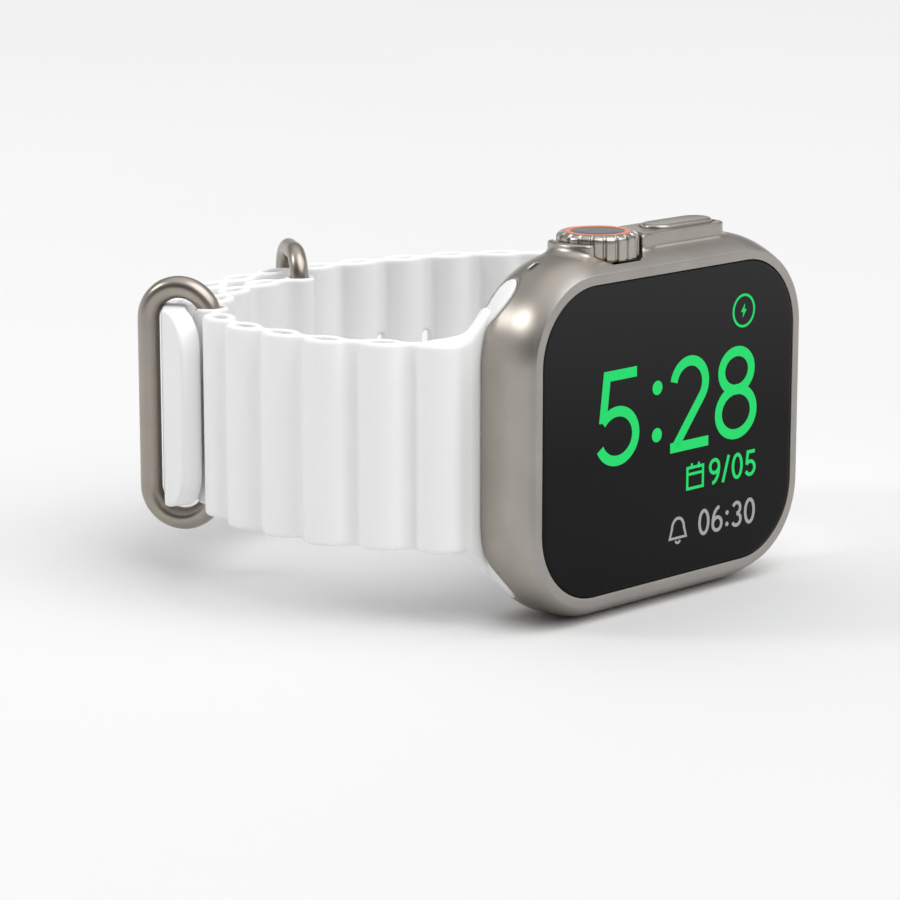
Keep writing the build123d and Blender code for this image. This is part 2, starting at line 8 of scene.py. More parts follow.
import bpy
import numpy as np
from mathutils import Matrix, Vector


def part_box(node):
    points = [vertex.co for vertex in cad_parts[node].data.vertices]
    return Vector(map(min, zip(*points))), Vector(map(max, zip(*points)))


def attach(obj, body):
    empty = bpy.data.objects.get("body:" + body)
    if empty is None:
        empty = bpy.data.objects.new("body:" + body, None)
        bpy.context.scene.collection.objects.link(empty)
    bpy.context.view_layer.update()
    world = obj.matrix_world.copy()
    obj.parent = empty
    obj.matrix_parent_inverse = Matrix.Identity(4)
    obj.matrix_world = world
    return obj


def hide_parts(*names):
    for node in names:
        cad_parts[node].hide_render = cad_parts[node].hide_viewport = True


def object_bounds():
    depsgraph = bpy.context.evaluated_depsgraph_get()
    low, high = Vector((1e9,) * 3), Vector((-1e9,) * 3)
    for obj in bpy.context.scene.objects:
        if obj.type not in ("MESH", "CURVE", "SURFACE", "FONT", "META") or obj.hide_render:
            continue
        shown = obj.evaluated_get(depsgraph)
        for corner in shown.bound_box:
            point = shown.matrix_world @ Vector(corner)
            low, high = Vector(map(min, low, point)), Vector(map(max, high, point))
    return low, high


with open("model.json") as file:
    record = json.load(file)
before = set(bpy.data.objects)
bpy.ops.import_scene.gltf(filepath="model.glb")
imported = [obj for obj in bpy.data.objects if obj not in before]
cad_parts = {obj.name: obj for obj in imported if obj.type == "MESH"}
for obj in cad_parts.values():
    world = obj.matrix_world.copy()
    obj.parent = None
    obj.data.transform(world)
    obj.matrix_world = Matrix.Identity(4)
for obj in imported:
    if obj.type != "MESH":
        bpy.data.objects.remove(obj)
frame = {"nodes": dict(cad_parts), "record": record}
cad_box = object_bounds()

MM = 0.001


def box_mm(node):
    """A CAD node's lowest and highest corners in millimetres."""
    low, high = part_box(node)
    return np.array(low) / MM, np.array(high) / MM


# ---------------------------------------------------------------- places read from the frame
case_low, case_high = box_mm("case_body")
glass_low, glass_high = box_mm("display_crystal")
crown_low, crown_high = box_mm("crown_cap")
ring_low, ring_high = box_mm("crown_ring")
LIP_Y = case_low[1]                                   # plane of the display lip
BACK_DEPTH = case_high[1] - LIP_Y                     # metal's rear face, behind the lip
CROWN = (crown_low + crown_high) / 2
CROWN_TOP = crown_high[2]
SIDE_DEPTH = CROWN[1] - LIP_Y                         # crown and buttons share this depth

# ---------------------------------------------------------------- dimensions in millimetres
LIP_WIDTH, LIP_HEIGHT, LIP_RADIUS = 47.6, 39.84, 10.0
SWELL_DEPTH, SWELL_POWER = 5.0, 2.6
SWELL_WIDTH, SWELL_HEIGHT, SWELL_RADIUS = 0.70, 2.08, 2.6
ROLL_START, ROLL_WIDTH, ROLL_HEIGHT = 6.6, 1.5, 2.2
RIM_START, RIM_SIZE = 10.8, 1.2
CHANNEL_X, CHANNEL_DEPTH, CHANNEL_RADIUS = 21.0, 8.5, 1.95
MOUTH_DEPTH, MOUTH_HALF = 9.65, 1.05
LATCH_POCKET_DEPTH, LATCH_POCKET_HALF = 10.2, 1.05
MIC_X, MIC_DEPTH, MIC_TOP, MIC_SLOPE = -17.2, 6.8, 20.66, 0.46   # the slope follows the case's corner
MIC_FLOOR, MIC_HALF_RUN, MIC_RADIUS = 15.4, 0.35, 0.36
GUARD_FRONT, GUARD_REAR, GUARD_END, GUARD_TOP, GUARD_CORNER = 2.35, 9.25, 12.9, 23.4, 2.2
GUARD_DEPTH, GUARD_HALF = (GUARD_FRONT + GUARD_REAR) / 2, (GUARD_REAR - GUARD_FRONT) / 2
GUARD_FOOT, METAL_START = 16, 0.35                    # guard's root; where the shell begins behind the lip
COLLAR_RADIUS, COLLAR_TOP, POCKET_RADIUS, POCKET_FLOOR = 6.2, 23.1, 5.3, 20.3
BUTTON_FLOORS = (("side_button", 21.5, 1), ("action_button", 20.3, -1))
BUTTON_GAP, SOUND_SLOT_HALF, SOUND_SLOT_TOP = 0.15, 0.55, -20.1
COVER_GAP, COVER_RADIUS = 0.12, 8.1
GLASS_GAP, GLASS_SEAT_RADIUS, GLASS_SEAT_DEPTH, GLASS_RADIUS = 0.1, 9.05, 1.9, 8.95
KNURLS, GROOVE_DEPTH, GROOVE_FLAT, GROOVE_SIDE, GROOVE_TURN = 20, 0.34, 0.03, 0.25, 0.56
ACCENT_INNER, ACCENT_DEEP = 3.25, 0.45                # inner radius and thickness of the crown's ring
STRAP_HALF, TUBE_LONG, TUBE_THICK, WEB_THICK = 12.4, 2.8, 1.98, 0.65
HOLLOW_LONG, HOLLOW_THICK = 1.8, 0.85
HOLE_HALF_RUN, HOLE_HALF_HEIGHT, HOLE_CORNER, HOLE_REACH = 0.62, 2.2, 0.6, 2.6
NECK_HALF, FLARE_HALF, FLARE_START, FLARE_END = 0.95, 16.2, 28.8, 22.4
NECK_INSIDE, NECK_BEND = 22.8, 4.2                    # where the neck starts, and its bend past the channel
CASE_CELL, STRAP_CELL = 0.24, 0.32                    # spacing of the grids that the surfaces are found on

# tube centres (x, depth behind the lip) from the case round to each strap's end
NEAR_TUBES = [(-28.6, 11.3), (-32.3, 17.0), (-35.4, 23.4), (-36.2, 30.1), (-36.3, 36.6), (-34.4, 43.3),
              (-30.8, 48.9), (-25.6, 53.6), (-20.1, 57.0), (-13.8, 58.6), (-7.7, 58.1)]
FAR_TUBES = [(28.6, 11.3), (32.3, 17.0), (35.6, 23.4), (36.8, 30.0), (37.0, 36.5), (35.6, 43.2),
             (31.6, 49.2), (25.9, 54.6), (19.8, 58.3), (13.3, 60.8), (6.7, 62.6), (0.3, 63.9),
             (-6.4, 64.5), (-13.2, 63.9), (-19.6, 62.0), (-25.8, 59.3), (-31.1, 55.2)]
BUCKLE_TUBE = 6                                       # the near strap's tube that the buckle's leg stands in
TIP_PATH, TIP_HALF, TIP_CORNER = [(-33.5, 52.7), (-35.2, 50.9), (-36.4, 46.4)], 1.4, 4.8
BUCKLE_WIRE, BUCKLE_SPAN, BUCKLE_ANGLE, BUCKLE_REACH, BUCKLE_CORNER = 1.38, 8.27, 120.8, 16.1, 4.135
KEEPER_WIRE, KEEPER_SPAN, KEEPER_ANGLE, KEEPER_REACH, KEEPER_CORNER = 1.20, 9.9, 59.0, 16.5, 3.4


def plan(point):
    """A point given as x and depth, in the row's X and Y."""
    return np.array((point[0], point[1] + LIP_Y))


# ---------------------------------------------------------------- meshes
def make_object(name, vertices, faces, smooth=True):
    """An object from points in millimetres."""
    mesh = bpy.data.meshes.new(name)
    mesh.from_pydata((np.asarray(vertices) * MM).tolist(), [], [list(map(int, f)) for f in faces])
    mesh.validate()
    mesh.polygons.foreach_set("use_smooth", [smooth] * len(mesh.polygons))
    mesh.update()
    piece = bpy.data.objects.new(name, mesh)
    bpy.context.scene.collection.objects.link(piece)
    return piece


def crease(piece, degrees_limit):
    """Keeps edges sharper than this angle crisp."""
    piece.data.set_sharp_from_angle(angle=radians(degrees_limit))
    return piece


def skin(loops, cap_start=True, cap_end=True):
    """Vertices and faces of a tube through closed loops of equal length."""
    count, size = len(loops), len(loops[0])
    vertices = np.concatenate(loops)
    faces = []
    for i in range(count - 1):
        for j in range(size):
            k = (j + 1) % size
            faces.append((i * size + j, i * size + k, (i + 1) * size + k, (i + 1) * size + j))
    if cap_start:
        faces.append(tuple(range(size - 1, -1, -1)))
    if cap_end:
        faces.append(tuple(range((count - 1) * size, count * size)))
    return vertices, faces


def surface_net(field, low, high, cell):
    """Vertices and quads of a field's zero surface, with each vertex moved onto the surface."""
    axes = [np.arange(a, b + cell, cell) for a, b in zip(low, high)]
    value = np.empty([len(a) for a in axes], np.float32)
    for i in range(0, len(axes[0]), 24):
        x = axes[0][i:i + 24, None, None]
        value[i:i + 24] = field(x, axes[1][None, :, None], axes[2][None, None, :])
    for axis in range(3):
        for end in (0, -1):
            rim = [slice(None)] * 3
            rim[axis] = end
            value[tuple(rim)] = np.maximum(value[tuple(rim)], 0.01)
    inside = value < 0
    cells = np.array(value.shape) - 1
    sums, hits, edges = np.zeros((3, cells.prod())), np.zeros(cells.prod()), []
    for axis in range(3):
        first = [slice(None)] * 3
        second = [slice(None)] * 3
        first[axis], second[axis] = slice(None, -1), slice(1, None)
        a, b = value[tuple(first)], value[tuple(second)]
        crossing = inside[tuple(first)] != inside[tuple(second)]
        index = np.argwhere(crossing)
        a, b = a[crossing], b[crossing]
        point = index.astype(float)
        point[:, axis] += a / (a - b)
        across, up = (axis + 1) % 3, (axis + 2) % 3
        around = []
        for step_across, step_up in ((0, 0), (-1, 0), (-1, -1), (0, -1)):
            cell_index = index.copy()
            cell_index[:, across] += step_across
            cell_index[:, up] += step_up
            flat = np.ravel_multi_index(cell_index.T, cells)
            around.append(flat)
            hits += np.bincount(flat, minlength=hits.size)
            for k in range(3):
                sums[k] += np.bincount(flat, weights=point[:, k], minlength=hits.size)
        quad = np.stack(around, 1)
        quad[a < 0] = quad[a < 0][:, ::-1]
        edges.append(quad)
    used = hits > 0
    number = np.cumsum(used) - 1
    vertices = (sums[:, used] / hits[used]).T * cell + np.array([a[0] for a in axes])
    step = 0.02
    for _ in range(4):
        x, y, z = vertices.T
        here = field(x, y, z)
        slope = np.stack([field(x + step, y, z) - field(x - step, y, z),
                          field(x, y + step, z) - field(x, y - step, z),
                          field(x, y, z + step) - field(x, y, z - step)], 1) / (2 * step)
        size = np.maximum((slope ** 2).sum(1), 0.05)
        move = slope * (here / size)[:, None]
        length = np.linalg.norm(move, axis=1, keepdims=True)
        vertices = vertices - move * np.minimum(1, 0.4 * cell / np.maximum(length, 1e-9))
    return vertices, number[np.concatenate(edges)]


# ---------------------------------------------------------------- distance fields
def soft_min(a, b, k):
    """The lesser of two distances, with a fillet about k wide where they meet."""
    h = np.clip(0.5 + 0.5 * (b - a) / k, 0, 1)
    return b + (a - b) * h - k * h * (1 - h)


def soft_max(a, b, k):
    return -soft_min(-a, -b, k)


def rounded_rectangle(u, v, half_u, half_v, radius):
    """Signed distance to a rounded rectangle about the origin."""
    qu, qv = np.abs(u) - half_u + radius, np.abs(v) - half_v + radius
    return np.hypot(np.maximum(qu, 0), np.maximum(qv, 0)) + np.minimum(np.maximum(qu, qv), 0) - radius


def segment(u, v, start, end):
    """Distance to a straight line between two points."""
    du, dv = end[0] - start[0], end[1] - start[1]
    t = np.clip(((u - start[0]) * du + (v - start[1]) * dv) / (du * du + dv * dv), 0, 1)
    return np.hypot(u - start[0] - t * du, v - start[1] - t * dv)


def slab_round(flat, height, radius):
    """A flat shape given a top, with a rounded edge where the two meet."""
    a, b = flat + radius, height + radius
    return np.hypot(np.maximum(a, 0), np.maximum(b, 0)) + np.minimum(np.maximum(a, b), 0) - radius


def ellipse(u, v, centre, angle, long, thick):
    """Approximate distance to an ellipse with its long axis at an angle."""
    du, dv = u - centre[0], v - centre[1]
    along, across = du * cos(angle) + dv * sin(angle), dv * cos(angle) - du * sin(angle)
    return (np.hypot(along / long, across / thick) - 1) * thick


def outline(depth):
    """Half width, half height and corner radius of the case at a depth behind the lip."""
    swell = 1 - (1 - np.clip(depth / SWELL_DEPTH, 0, 1)) ** SWELL_POWER
    roll = np.clip((depth - ROLL_START) / (BACK_DEPTH - ROLL_START), 0, 1) ** 2
    rim = RIM_SIZE * np.clip((depth - RIM_START) / (BACK_DEPTH - RIM_START), 0, 1) ** 2
    return (LIP_WIDTH / 2 + SWELL_WIDTH * swell - ROLL_WIDTH * roll - rim,
            LIP_HEIGHT / 2 + SWELL_HEIGHT * swell - ROLL_HEIGHT * roll - rim,
            LIP_RADIUS + SWELL_RADIUS * swell)


def envelope(x, y, z):
    """The case's outside without the guard."""
    depth = y - LIP_Y
    half_width, half_height, radius = outline(depth)
    return soft_max(rounded_rectangle(x, z, half_width, half_height, radius), depth - BACK_DEPTH, 0.5)


def guard_block(x, y, z):
    """The raised block under the side button, square-edged at its top."""
    depth = y - LIP_Y
    middle, half = (CROWN[0] + GUARD_END) / 2, (GUARD_END - CROWN[0]) / 2
    block = rounded_rectangle(x - middle, depth - GUARD_DEPTH, half, GUARD_HALF, GUARD_CORNER)
    return slab_round(block, z - GUARD_TOP, 0.14)


def collar(x, y, z):
    """The raised collar round the crown."""
    depth = y - LIP_Y
    ring = np.hypot(x - CROWN[0], depth - SIDE_DEPTH) - COLLAR_RADIUS
    ring = soft_max(ring, np.abs(depth - GUARD_DEPTH) - GUARD_HALF, 0.5)
    return slab_round(ring, z - COLLAR_TOP, 0.28)


def pill(x, depth, centre, length, width):
    """Flat outline of a pill whose long axis is X."""
    half = (length - width) / 2
    return np.hypot(np.maximum(np.abs(x - centre) - half, 0), depth - SIDE_DEPTH) - width / 2


def case_field(x, y, z):
    """The case's metal: its outside, guard and collar, less all that is cut out of it."""
    depth = y - LIP_Y
    # guard and collar run into the case with fillets that are tight at the crown and wider beside it
    at_crown = np.clip((np.abs(x - CROWN[0] + 0.3) - 4.1) / 2.0, 0, 1)
    skirt = 0.25 + 1.0 * at_crown * at_crown * (3 - 2 * at_crown)
    skirt = np.where(x < CROWN[0] + 3, skirt, 0.9)
    fillet = 0.2 + 0.55 * np.clip((x - CROWN[0] - 2.5) / 2, 0, 1)
    body = soft_min(envelope(x, y, z), np.maximum(collar(x, y, z), GUARD_FOOT - z), skirt)
    body = soft_min(body, np.maximum(guard_block(x, y, z), GUARD_FOOT - z), fillet)
    body = np.maximum(body, METAL_START - depth)
    # crown pocket, button pockets
    pocket = np.maximum(np.hypot(x - CROWN[0], depth - SIDE_DEPTH) - POCKET_RADIUS, POCKET_FLOOR - z)
    body = soft_max(body, -pocket, 0.15)
    for name, floor_z, way in BUTTON_FLOORS:
        low, high = box_mm(name)
        length, width = high[0] - low[0] + 2 * BUTTON_GAP, high[1] - low[1] + 2 * BUTTON_GAP
        button = pill(x, depth, (low[0] + high[0]) / 2, length, width)
        body = soft_max(body, -np.maximum(button, floor_z - way * z), 0.15)
    # lug channels
    for side in (-1, 1):
        u, v = side * x - CHANNEL_X, depth - CHANNEL_DEPTH
        mouth = np.maximum(np.abs(depth - MOUTH_DEPTH) - MOUTH_HALF, -u)
        body = soft_max(body, -soft_min(np.hypot(u, v) - CHANNEL_RADIUS, mouth, 0.4), 0.45)
    # sound slots, microphone hole, recess of the rear cover
    for node in ("speaker_mesh", "siren_mesh"):
        low, high = box_mm(node)
        for slot_depth in (low[1] + 0.5 - LIP_Y, high[1] - 0.5 - LIP_Y):
            middle, half = (low[0] + high[0]) / 2, (high[0] - low[0]) / 2 - 0.5
            slot = np.hypot(np.maximum(np.abs(x - middle) - half, 0), depth - slot_depth) - SOUND_SLOT_HALF
            body = soft_max(body, -np.maximum(slot, z - SOUND_SLOT_TOP), 0.12)
    hole = np.hypot(np.maximum(np.abs(x - MIC_X) - MIC_HALF_RUN, 0), depth - MIC_DEPTH) - MIC_RADIUS
    body = soft_max(body, -np.maximum(hole, MIC_FLOOR - z), 0.06)
    low, high = box_mm("back_cover")
    recess = rounded_rectangle(x, z, high[0] + COVER_GAP, high[2] + COVER_GAP, COVER_RADIUS)
    body = soft_max(body, -np.maximum(recess, low[1] - 0.15 - y), 0.1)
    for node in ("latch_near", "latch_far"):
        low, high = box_mm(node)
        middle, half = (low[0] + high[0]) / 2, (high[2] - low[2]) / 2 - 0.92
        latch = np.hypot(x - middle, np.maximum(np.abs(z) - half, 0)) - LATCH_POCKET_HALF
        body = soft_max(body, -np.maximum(latch, LATCH_POCKET_DEPTH - depth), 0.1)
    # seat of the glass
    seat = rounded_rectangle(x, z, glass_high[0] + GLASS_GAP, glass_high[2] + GLASS_GAP, GLASS_SEAT_RADIUS)
    return np.maximum(body, -np.maximum(seat, depth - GLASS_SEAT_DEPTH))


def lug_field(side):
    """The bar of a strap lug, which fills its channel and ends flush with the case."""
    def field(x, y, z):
        u, v = side * x - CHANNEL_X, y - LIP_Y - CHANNEL_DEPTH
        mouth = np.maximum(np.abs(y - LIP_Y - MOUTH_DEPTH) - MOUTH_HALF, -u)
        bar = soft_min(np.hypot(u, v) - CHANNEL_RADIUS, mouth, 0.4) + 0.08
        return soft_max(bar, envelope(x, y, z) + 0.05, 0.25)
    return field


def heading(centres, index):
    """Direction of the strap at a tube, from its two neighbours."""
    before, after = centres[max(index - 1, 0)], centres[min(index + 1, len(centres) - 1)]
    return atan2(after[1] - before[1], after[0] - before[0])


def strap_field(side, tubes, round_tubes, holes, tip=()):
    """A ribbed strap: tubes joined by webs, hollow along their length, with a flared neck."""
    centres = [plan(t) for t in tubes]
    neck_start = plan((side * NECK_INSIDE, MOUTH_DEPTH))
    neck_end = plan((side * (CHANNEL_X + NECK_BEND), MOUTH_DEPTH))
    tip_path = [centres[-1]] + [plan(point) for point in tip]

    def field(x, y, z):
        body = None
        for index, centre in enumerate(centres):
            if index in round_tubes:
                tube = np.hypot(x - centre[0], y - centre[1]) - round_tubes[index]
            else:
                tube = ellipse(x, y, centre, heading(centres, index), TUBE_LONG, TUBE_THICK)
            if index:
                web = segment(x, y, centres[index - 1], centre) - WEB_THICK
                body = soft_min(body, soft_min(tube, web, 0.7), 0.3)
            else:
                body = tube
        edge = np.abs(z) - STRAP_HALF
        body = slab_round(body, edge, 0.35)
        if tip:
            along = tip_path[-1] - tip_path[-2]
            along /= np.hypot(*along)
            run = (x - tip_path[-1][0]) * along[0] + (y - tip_path[-1][1]) * along[1]
            past = tip_path[-1] + along * 4
            flap = segment(x, y, tip_path[-2], past)
            for start, end in zip(tip_path[:-2], tip_path[1:-1]):
                flap = soft_min(flap, segment(x, y, start, end), 0.6)
            end_outline = rounded_rectangle(run + 20, z, 20, STRAP_HALF, TIP_CORNER)
            body = soft_min(body, slab_round(flap - TIP_HALF, end_outline, 0.28), 0.25)
        neck = np.minimum(segment(x, y, neck_start, neck_end),
                          segment(x, y, neck_end, centres[0])) - NECK_HALF
        reach = np.clip((FLARE_START - np.abs(x)) / (FLARE_START - FLARE_END), 0, 1) ** 2.0
        flare = np.abs(z) - STRAP_HALF - (FLARE_HALF - STRAP_HALF) * reach
        body = soft_min(body, slab_round(neck, flare * 0.75, 0.85), 1.6)
        for index, centre in enumerate(centres):
            if index and index not in round_tubes:
                hollow = ellipse(x, y, centre, heading(centres, index), HOLLOW_LONG, HOLLOW_THICK)
                body = soft_max(body, -hollow, 0.2)
        for index in holes:
            start, end = centres[index], centres[index + 1]
            middle, turn = (start + end) / 2, atan2(*(end - start)[::-1])
            run = (x - middle[0]) * cos(turn) + (y - middle[1]) * sin(turn)
            across = (y - middle[1]) * cos(turn) - (x - middle[0]) * sin(turn)
            hole = rounded_rectangle(run, z, HOLE_HALF_RUN, HOLE_HALF_HEIGHT, HOLE_CORNER)
            body = soft_max(body, -np.maximum(hole, np.abs(across) - HOLE_REACH), 0.2)
        return body
    return field


def bored(field, centre, wire, angle, relief):
    """A strap field with a bore for one leg of a wire loop, slotted towards the loop at its ends."""
    x0, y0 = centre

    def cut(x, y, z):
        lean = relief * np.clip((np.abs(z) - STRAP_HALF + 2.2) / 2.2, 0, 1)
        bore = np.hypot(x - x0 - lean * cos(angle), y - y0 - lean * sin(angle)) - wire - 0.1
        straight = np.hypot(x - x0, y - y0) - wire - 0.1
        return soft_max(field(x, y, z), -np.minimum(bore, straight), 0.15)
    return cut


# ---------------------------------------------------------------- wire loops, pills, discs
def wire_loop(name, tube, wire, span, angle, reach, corner):
    """An upright closed loop of round wire; one of its legs stands in a strap tube."""
    start = plan(tube)
    direction = np.array((cos(radians(angle)), sin(radians(angle)), 0.0))
    middle = np.array((*start, 0.0)) + direction * span / 2
    top = reach - wire
    path, count = [], 20
    for sign_run, sign_up, first in ((1, 1, 0), (-1, 1, 1), (-1, -1, 2), (1, -1, 3)):
        for i in range(count + 1):
            a = (first + i / count) * pi / 2
            path.append(((span / 2 - corner) * sign_run + corner * cos(a),
                         (top - corner) * sign_up + corner * sin(a)))
    dense = []
    for (u0, v0), (u1, v1) in zip(path, path[1:] + path[:1]):
        length = hypot(u1 - u0, v1 - v0)
        if length < 1e-6:
            continue
        steps = max(1, round(length / 1.2))
        dense += [(u0 + (u1 - u0) * k / steps, v0 + (v1 - v0) * k / steps) for k in range(steps)]
    flat = np.array(dense)
    ahead = np.roll(flat, -1, 0) - np.roll(flat, 1, 0)
    ahead /= np.linalg.norm(ahead, axis=1, keepdims=True)
    side_way = np.cross(direction, (0, 0, 1.0))
    size, vertices, faces = 28, [], []
    for (u, v), (du, dv) in zip(flat, ahead):
        centre = middle + direction * u + np.array((0, 0, v))
        out = direction * dv - np.array((0, 0, du))
        for k in range(size):
            a = 2 * pi * k / size
            vertices.append(centre + wire * (out * cos(a) + side_way * sin(a)))
    for i in range(len(flat)):
        j = (i + 1) % len(flat)
        for k in range(size):
            m = (k + 1) % size
            faces.append((i * size + k, j * size + k, j * size + m, i * size + m))
    return make_object(name, vertices, faces)


def stadium(length, width, count=20):
    """Closed outline of a pill lying along its first axis."""
    half, radius, points = (length - width) / 2, width / 2, []
    for sign, first in ((1, -pi / 2), (-1, pi / 2)):
        for i in range(count + 1):
            a = first + pi * i / count
            points.append((sign * half + radius * cos(a), radius * sin(a)))
    return np.array(points)


def pill_cap(name, node, way, deep, edge, dish):
    """A button with a rounded rim, on the crown side (way 1) or the opposite side (way -1)."""
    low, high = box_mm(node)
    centre = (low + high) / 2
    length, width = high[0] - low[0], high[1] - low[1]
    face = high[2] if way > 0 else low[2]
    profile = [(0, deep), (0, edge)] + [(edge * (1 - cos(a)), edge * (1 - sin(a)))
                                       for a in np.linspace(0, pi / 2, 9)[1:]]
    profile += [(edge + 0.25, dish * 0.3), (edge + 0.6, dish)]
    loops = []
    for inset, drop in profile:
        ring = stadium(length - 2 * inset, width - 2 * inset)
        loops.append(np.column_stack((centre[0] + ring[:, 0], centre[1] + way * ring[:, 1],
                                      np.full(len(ring), face - way * drop))))
    return crease(make_object(name, *skin(loops)), 60)


def turned(name, profile, centre, count=128, shape=None):
    """A turned part about a vertical axis; shape(radius, height, angle) may move the radius."""
    loops = []
    for radius, height in profile:
        angle = np.linspace(0, 2 * pi, count, endpoint=False)
        r = np.full(count, radius) if shape is None else shape(radius, height, angle)
        loops.append(np.column_stack((centre[0] + r * np.cos(angle), centre[1] + r * np.sin(angle),
                                      np.full(count, height))))
    return make_object(name, *skin(loops))


def knurled_crown():
    """The crown's cap: a rim with flat ribs between narrow grooves, and a recess for ring and disc."""
    outer = (crown_high[0] - crown_low[0]) / 2 + 0.006
    bottom, top = crown_low[2], CROWN_TOP
    seat = (ring_high[0] - ring_low[0]) / 2

    def grooves(radius, height, angle):
        phase = (angle * KNURLS / (2 * pi) + GROOVE_TURN) % 1
        away = np.abs(phase - 0.5) * 2 * pi * outer / KNURLS
        groove = GROOVE_DEPTH * np.clip(1 - (np.maximum(away - GROOVE_FLAT, 0) / GROOVE_SIDE) ** 2, 0, 1)
        share = np.clip((radius - (outer - 1.0)) / 0.55, 0, 1)
        return radius - groove * share
    profile = [(1.6, bottom), (outer - 0.55, bottom), (outer - 0.22, bottom + 0.08),
               (outer - 0.05, bottom + 0.25), (outer, bottom + 0.45), (outer, bottom + 1.2),
               (outer, top - 1.1), (outer, top - 0.72),
               (outer - 0.05, top - 0.5), (outer - 0.2, top - 0.27), (outer - 0.45, top - 0.1),
               (outer - 0.7, top - 0.02), (outer - 0.9, top), (seat + 0.04, top), (seat + 0.02, top - 0.03),
               (seat + 0.02, top - 0.5), (0.2, top - 0.5)]
    return crease(turned("crown_rim", profile, CROWN, KNURLS * 48, grooves), 55)


def lip_ring():
    """The flat lip round the glass, with the first part of the side wall."""
    inner = (glass_high[0] + GLASS_GAP, glass_high[2] + GLASS_GAP, GLASS_SEAT_RADIUS)
    rows = [(*(side + grow for side in inner), depth)
            for grow, depth in ((0, 1.5), (0, 0.12), (0.04, 0.03), (0.12, 0.0))]
    edge = outline(0.0)
    rows += [(*(side - inset for side in edge), depth) for inset, depth in ((0.1, 0.0), (0.03, 0.02))]
    for depth in (0.06, 0.12, 0.2, 0.3, 0.42, 0.55, 0.7, 0.85):
        half_width, half_height, radius = outline(depth)
        rows.append((half_width + 0.004, half_height + 0.004, radius, depth))
    loops = []
    for half_width, half_height, radius, depth in rows:
        ring = corner_outline(half_width, half_height, radius)
        loops.append(np.column_stack((ring[:, 0], np.full(len(ring), LIP_Y + depth), ring[:, 1])))
    return crease(make_object("case_lip", *skin(loops, False, False)), 25)


def corner_outline(half_width, half_height, radius, count=24, straight=10):
    """A rounded rectangle with the same number of points on every arc and every straight."""
    points = []
    for sign_u, sign_v, first in ((1, 1, 0), (-1, 1, 1), (-1, -1, 2), (1, -1, 3)):
        cu, cv = sign_u * (half_width - radius), sign_v * (half_height - radius)
        turn = [(first + i / count) * pi / 2 for i in range(count + 1)]
        points.append(np.array([(cu + radius * cos(a), cv + radius * sin(a)) for a in turn]))
    closed = []
    for i, corner in enumerate(points):
        closed.append(corner)
        after = points[(i + 1) % 4][0]
        steps = np.linspace(0, 1, straight + 1)[1:-1, None]
        closed.append(corner[-1] + (after - corner[-1]) * steps)
    return np.concatenate(closed)


def glass_plate():
    """The flat display glass with a finely rounded rim, just below the lip."""
    loops = []
    for inset, depth in ((0, 1.55), (0, 0.22), (0.02, 0.13), (0.08, 0.075), (0.17, 0.05), (0.5, 0.05)):
        ring = corner_outline(glass_high[0] - inset, glass_high[2] - inset, GLASS_RADIUS - inset)
        loops.append(np.column_stack((ring[:, 0], np.full(len(ring), LIP_Y + depth), ring[:, 1])))
    return crease(make_object("display_glass", *skin(loops)), 40)


# ---------------------------------------------------------------- readout
def arc(centre_u, centre_v, radius_u, radius_v, start, end, count=18):
    """Points on an ellipse between two angles in degrees."""
    return [(centre_u + radius_u * cos(radians(a)), centre_v + radius_v * sin(radians(a)))
            for a in np.linspace(start, end, count)]


GLYPHS = {   # advance, then strokes in a box one unit high with its foot at 0
    "0": (0.62, [(arc(0.31, 0.5, 0.247, 0.437, 0, 360, 40), True)]),
    "2": (0.61, [(arc(0.30, 0.70, 0.232, 0.237, 170, -35, 22) + [(0.11, 0.08)], False),
                 ([(0.03, 0.063), (0.585, 0.063)], False)]),
    "3": (0.60, [(arc(0.285, 0.725, 0.21, 0.212, 155, -88, 20), False),
                 (arc(0.285, 0.285, 0.24, 0.222, 88, -155, 22), False)]),
    "5": (0.63, [([(0.565, 0.937), (0.16, 0.937), (0.105, 0.47)], False),
                 (arc(0.305, 0.315, 0.255, 0.252, 142, -155, 28), False)]),
    "6": (0.63, [(arc(0.315, 0.31, 0.247, 0.247, 0, 360, 36), True),
                 (arc(0.44, 0.36, 0.372, 0.577, 184, 92, 16), False)]),
    "8": (0.66, [(arc(0.33, 0.735, 0.222, 0.202, 0, 360, 36), True),
                 (arc(0.33, 0.30, 0.262, 0.237, 0, 360, 36), True)]),
    "9": (0.63, [(arc(0.315, 0.69, 0.247, 0.247, 0, 360, 36), True),
                 (arc(0.19, 0.64, 0.372, 0.577, 4, -88, 16), False)]),
    "/": (0.42, [([(0.04, 0.0), (0.36, 1.0)], False)]),
    ":": (0.25, [(arc(0.12, 0.20, 0.04, 0.04, 0, 360, 16), True),
                 (arc(0.12, 0.64, 0.04, 0.04, 0, 360, 16), True)]),
}


def ribbon(points, width, closed):
    """Left and right edges of a stroke with mitred corners."""
    p = np.array(points[:-1] if closed else points, float)
    if closed:
        before, after = p - np.roll(p, 1, 0), np.roll(p, -1, 0) - p
    else:
        step = np.diff(p, axis=0)
        before, after = np.vstack((step[:1], step)), np.vstack((step, step[-1:]))
    before /= np.linalg.norm(before, axis=1, keepdims=True)
    after /= np.linalg.norm(after, axis=1, keepdims=True)
    tangent = before + after
    tangent /= np.linalg.norm(tangent, axis=1, keepdims=True)
    normal = np.column_stack((-tangent[:, 1], tangent[:, 0]))
    scale = 1 / np.maximum((tangent * after).sum(1), 0.7)
    return p + normal * (width / 2 * scale)[:, None], p - normal * (width / 2 * scale)[:, None]


